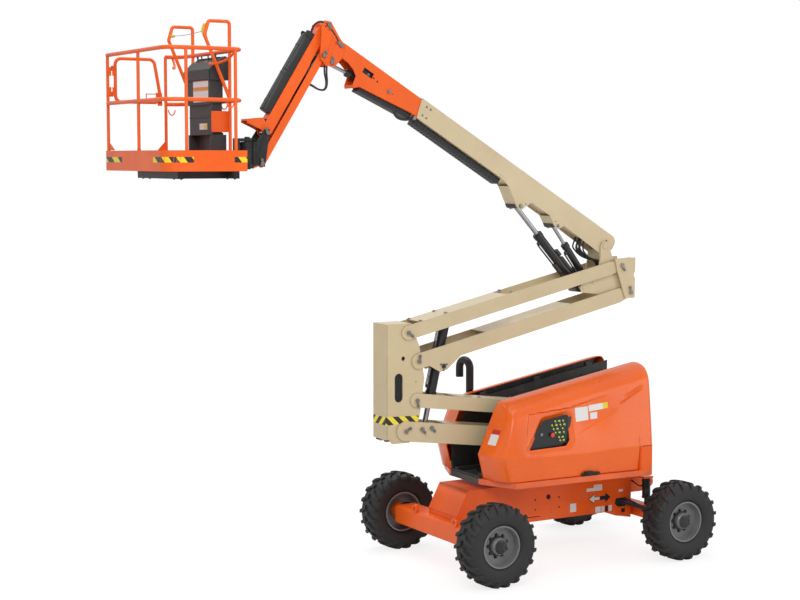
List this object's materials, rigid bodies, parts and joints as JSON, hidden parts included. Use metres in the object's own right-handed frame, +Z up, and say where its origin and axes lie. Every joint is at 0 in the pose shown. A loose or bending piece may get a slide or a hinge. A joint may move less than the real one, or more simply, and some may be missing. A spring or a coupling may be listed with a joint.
{
  "type": "articulating boom lift",
  "caption": "Self-propelled work platform on a parallel-link tower, telescopic boom and jib, with a swinging turntable, steered axle and hinged hoods.",
  "frame": {"origin": "on the ground, midway between the axles, on the machine's centre plane", "axes": "+Z up, +X along the chassis towards the steering axle, so the boom and platform reach towards -X; +Y to the left of +X"},
  "size_m": [6.13, 2.26, 5.6077],
  "materials": {
    "orange_paint": "gloss orange enamel",
    "cream_paint": "gloss beige enamel",
    "black_paint": "satin black enamel",
    "dark_steel": "dark grey enamel",
    "rim_grey": "satin grey enamel",
    "tyre": "moulded tread rubber",
    "rod_chrome": "polished rod",
    "engine_iron": "painted castings, one plain block",
    "hood_shell": "gloss moulded shell",
    "console_plastic": "matte dark grey",
    "carrier_plastic": "matte black",
    "tank_plastic": "matte black tank"
  },
  "bodies": {
    "chassis": {"chassis_frame": "orange_paint", "rear_axle": "orange_paint", "front_axle": "orange_paint", "lockout_cylinders": "black_paint", "swing_bearing": "dark_steel"},
    "knuckle_left": {"knuckle_left": "black_paint"},
    "knuckle_right": {"knuckle_right": "black_paint"},
    "turntable": {"turntable_base": "dark_steel", "trough_walls": "dark_steel", "counterweight": "orange_paint", "engine_block": "engine_iron", "fluid_tank": "tank_plastic", "ground_control_box": "console_plastic"},
    "hood_left": {"hood_left": "hood_shell", "exhaust_elbow": "black_paint"},
    "hood_right": {"hood_right": "hood_shell"},
    "main_boom": {"main_boom": "cream_paint", "boom_hose_carrier": "carrier_plastic"},
    "boom_fly": {"boom_fly": "orange_paint", "fly_hose_carrier": "carrier_plastic"},
    "jib_arm": {"jib_arm": "orange_paint", "jib_hose_carrier": "carrier_plastic"},
    "jib_end": {"jib_end_casting": "black_paint"},
    "platform": {"platform_support": "black_paint", "platform_floor": "orange_paint", "platform_rails": "orange_paint", "platform_console": "console_plastic"},
    "wheel_front_left": {"rim_front_left": "rim_grey", "tyre_front_left": "tyre"},
    "wheel_front_right": {"rim_front_right": "rim_grey", "tyre_front_right": "tyre"},
    "wheel_rear_left": {"rim_rear_left": "rim_grey", "tyre_rear_left": "tyre"},
    "wheel_rear_right": {"rim_rear_right": "rim_grey", "tyre_rear_right": "tyre"},
    "lower_link_bottom": {"lower_link_bottom": "cream_paint"},
    "lower_link_top": {"lower_link_top": "cream_paint"},
    "tower_upright": {"tower_upright": "cream_paint"},
    "upper_link_bottom": {"upper_link_bottom": "cream_paint"},
    "upper_link_top": {"upper_link_top": "cream_paint"},
    "upper_upright": {"upper_upright": "cream_paint"},
    "tower_cylinder_barrel": {"tower_cylinder_barrel": "black_paint"},
    "tower_cylinder_rod": {"tower_cylinder_rod": "rod_chrome"},
    "lift_cylinder_barrel": {"lift_cylinder_barrel": "black_paint"},
    "lift_cylinder_rod": {"lift_cylinder_rod": "rod_chrome"},
    "master_cylinder_barrel": {"master_cylinder_barrel": "black_paint"},
    "master_cylinder_rod": {"master_cylinder_rod": "rod_chrome"},
    "slave_cylinder_barrel": {"slave_cylinder_barrel": "black_paint"},
    "slave_cylinder_rod": {"slave_cylinder_rod": "rod_chrome"},
    "jib_upright": {"jib_upright": "orange_paint"},
    "jib_lower_link": {"jib_lower_link": "orange_paint"},
    "jib_cylinder_barrel": {"jib_cylinder_barrel": "black_paint"},
    "jib_cylinder_rod": {"jib_cylinder_rod": "rod_chrome"},
    "platform_gate": {"platform_gate": "orange_paint"}
  },
  "joints": [
    {"name": "steer_left", "type": "hinge", "parent": "chassis", "child": "knuckle_left", "pos_m": [1.166, 0.69, 0.419], "axis": [0, 0, 1], "range_deg": [-35, 35]},
    {"name": "steer_right", "type": "hinge", "parent": "chassis", "child": "knuckle_right", "pos_m": [1.166, -0.69, 0.419], "axis": [0, 0, 1], "range_deg": [-35, 35]},
    {"name": "roll_front_left", "type": "hinge", "parent": "knuckle_left", "child": "wheel_front_left", "pos_m": [1.166, 0.9735, 0.419], "axis": [0, 1, 0], "continuous": true},
    {"name": "roll_front_right", "type": "hinge", "parent": "knuckle_right", "child": "wheel_front_right", "pos_m": [1.166, -0.9735, 0.419], "axis": [0, 1, 0], "continuous": true},
    {"name": "roll_rear_left", "type": "hinge", "parent": "chassis", "child": "wheel_rear_left", "pos_m": [-1.166, 0.9735, 0.419], "axis": [0, 1, 0], "continuous": true},
    {"name": "roll_rear_right", "type": "hinge", "parent": "chassis", "child": "wheel_rear_right", "pos_m": [-1.166, -0.9735, 0.419], "axis": [0, 1, 0], "continuous": true},
    {"name": "swing", "type": "hinge", "parent": "chassis", "child": "turntable", "pos_m": [0.08, 0, 0.85], "axis": [0, 0, 1], "range_deg": [-177.5, 177.5]},
    {"name": "hood_left", "type": "hinge", "parent": "turntable", "child": "hood_left", "pos_m": [0.2, 0.3035, 1.87312], "axis": [0.9848, 0, 0.1736], "range_deg": [0, 60]},
    {"name": "hood_right", "type": "hinge", "parent": "turntable", "child": "hood_right", "pos_m": [0.2, -0.3035, 1.87312], "axis": [-0.9848, 0, -0.1736], "range_deg": [0, 60]},
    {"name": "tower_lift", "type": "hinge", "parent": "turntable", "child": "lower_link_bottom", "pos_m": [0.559, 0, 1.192], "axis": [0, 1, 0], "range_deg": [-11.5, 58.5]},
    {"name": "lower_link_top_pivot", "type": "hinge", "parent": "turntable", "child": "lower_link_top", "pos_m": [0.691, 0, 1.5], "axis": [0, 1, 0], "range_deg": [-11.5, 58.5]},
    {"name": "upright_level", "type": "hinge", "parent": "lower_link_bottom", "child": "tower_upright", "pos_m": [-1.72132, 0, 1.49221], "axis": [0, -1, 0], "range_deg": [-11.5, 58.5]},
    {"name": "upper_link_bottom_pivot", "type": "hinge", "parent": "tower_upright", "child": "upper_link_bottom", "pos_m": [-1.56732, 0, 2.20021], "axis": [0, -1, 0], "range_deg": [-11.5, 58.5]},
    {"name": "upper_link_top_pivot", "type": "hinge", "parent": "tower_upright", "child": "upper_link_top", "pos_m": [-1.69132, 0, 2.49921], "axis": [0, -1, 0], "range_deg": [-11.5, 58.5]},
    {"name": "upper_upright_level", "type": "hinge", "parent": "upper_link_bottom", "child": "upper_upright", "pos_m": [1.11592, 0, 2.80245], "axis": [0, 1, 0], "range_deg": [-11.5, 58.5]},
    {"name": "tower_cylinder_swing", "type": "hinge", "parent": "upper_link_bottom", "child": "tower_cylinder_barrel", "pos_m": [-1.27031, 0, 2.13261], "axis": [0, 1, 0], "range_deg": [-10.69, 54.39]},
    {"name": "tower_cylinder_slide", "type": "slide", "parent": "tower_cylinder_barrel", "child": "tower_cylinder_rod", "axis": [-0.2293, 0, -0.9734], "range_m": [-0.11185, 0.56895]},
    {"name": "main_boom_lift", "type": "hinge", "parent": "upper_upright", "child": "main_boom", "pos_m": [0.79781, 0, 3.31438], "axis": [0, 1, 0], "range_deg": [-30, 44]},
    {"name": "lift_cylinder_swing", "type": "hinge", "parent": "upper_upright", "child": "lift_cylinder_barrel", "pos_m": [0.52, 0, 2.87], "axis": [0, 1, 0], "range_deg": [-25.57, 37.5]},
    {"name": "lift_cylinder_slide", "type": "slide", "parent": "lift_cylinder_barrel", "child": "lift_cylinder_rod", "axis": [-0.676, 0, 0.7369], "range_m": [-0.24945, 0.36586]},
    {"name": "master_cylinder_swing", "type": "hinge", "parent": "upper_upright", "child": "master_cylinder_barrel", "pos_m": [0.65, 0, 2.93], "axis": [0, 1, 0], "range_deg": [-21.1, 30.95]},
    {"name": "master_cylinder_slide", "type": "slide", "parent": "master_cylinder_barrel", "child": "master_cylinder_rod", "axis": [-0.6044, 0, 0.7967], "range_m": [-0.17892, 0.26241]},
    {"name": "boom_telescope", "type": "slide", "parent": "main_boom", "child": "boom_fly", "axis": [-0.8574, 0, 0.5146], "range_m": [0, 1.85]},
    {"name": "jib_upright_level", "type": "hinge", "parent": "boom_fly", "child": "jib_upright", "pos_m": [-2.43128, 0, 5.36311], "axis": [0, -1, 0], "range_deg": [-30, 44]},
    {"name": "slave_cylinder_swing", "type": "hinge", "parent": "boom_fly", "child": "slave_cylinder_barrel", "pos_m": [-1.88545, 0, 4.92591], "axis": [0, -1, 0], "range_deg": [-0.41, 0.61]},
    {"name": "slave_cylinder_slide", "type": "slide", "parent": "slave_cylinder_barrel", "child": "slave_cylinder_rod", "axis": [0.9238, 0, -0.3829], "range_m": [-0.09712, 0.14244]},
    {"name": "jib_lift", "type": "hinge", "parent": "jib_upright", "child": "jib_arm", "pos_m": [-2.567, 0, 5.561], "axis": [0, 1, 0], "range_deg": [-7, 128]},
    {"name": "jib_lower_link_pivot", "type": "hinge", "parent": "jib_upright", "child": "jib_lower_link", "pos_m": [-2.626, 0, 5.261], "axis": [0, 1, 0], "range_deg": [-7, 128]},
    {"name": "jib_end_level", "type": "hinge", "parent": "jib_arm", "child": "jib_end", "pos_m": [-3.22885, 0, 4.51122], "axis": [0, -1, 0], "range_deg": [-7, 128]},
    {"name": "jib_cylinder_swing", "type": "hinge", "parent": "jib_upright", "child": "jib_cylinder_barrel", "pos_m": [-2.626, 0, 5.261], "axis": [0, 1, 0], "range_deg": [-7.03, 128.61]},
    {"name": "jib_cylinder_slide", "type": "slide", "parent": "jib_cylinder_barrel", "child": "jib_cylinder_rod", "axis": [-0.6266, 0, -0.7793], "range_m": [-0.02991, 0.54673]},
    {"name": "platform_rotate", "type": "hinge", "parent": "jib_end", "child": "platform", "pos_m": [-3.4, 0, 4.3], "axis": [0, 0, 1], "range_deg": [-90, 90]},
    {"name": "gate_swing", "type": "hinge", "parent": "platform", "child": "platform_gate", "pos_m": [-4.478, 0.74, 5], "axis": [0, 0, -1], "range_deg": [0, 90]}
  ],
  "couplings": [
    {"joint": "steer_right", "follows": "steer_left", "ratio": 1},
    {"joint": "lower_link_top_pivot", "follows": "tower_lift", "ratio": 1},
    {"joint": "upright_level", "follows": "tower_lift", "ratio": 1},
    {"joint": "upper_link_bottom_pivot", "follows": "tower_lift", "ratio": 1},
    {"joint": "upper_link_top_pivot", "follows": "tower_lift", "ratio": 1},
    {"joint": "upper_upright_level", "follows": "tower_lift", "ratio": 1},
    {"joint": "tower_cylinder_swing", "follows": "tower_lift", "ratio": 0.92968},
    {"joint": "tower_cylinder_slide", "follows": "tower_lift", "m_per_rad": 0.55722},
    {"joint": "lift_cylinder_swing", "follows": "main_boom_lift", "ratio": 0.85228},
    {"joint": "lift_cylinder_slide", "follows": "main_boom_lift", "m_per_rad": 0.4764},
    {"joint": "master_cylinder_swing", "follows": "main_boom_lift", "ratio": 0.70345},
    {"joint": "master_cylinder_slide", "follows": "main_boom_lift", "m_per_rad": 0.34169},
    {"joint": "jib_upright_level", "follows": "main_boom_lift", "ratio": 1},
    {"joint": "slave_cylinder_swing", "follows": "main_boom_lift", "ratio": 0.01383},
    {"joint": "slave_cylinder_slide", "follows": "main_boom_lift", "m_per_rad": 0.18547},
    {"joint": "jib_lower_link_pivot", "follows": "jib_lift", "ratio": 1},
    {"joint": "jib_end_level", "follows": "jib_lift", "ratio": 1},
    {"joint": "jib_cylinder_swing", "follows": "jib_lift", "ratio": 1.0048},
    {"joint": "jib_cylinder_slide", "follows": "jib_lift", "m_per_rad": 0.24472}
  ]
}
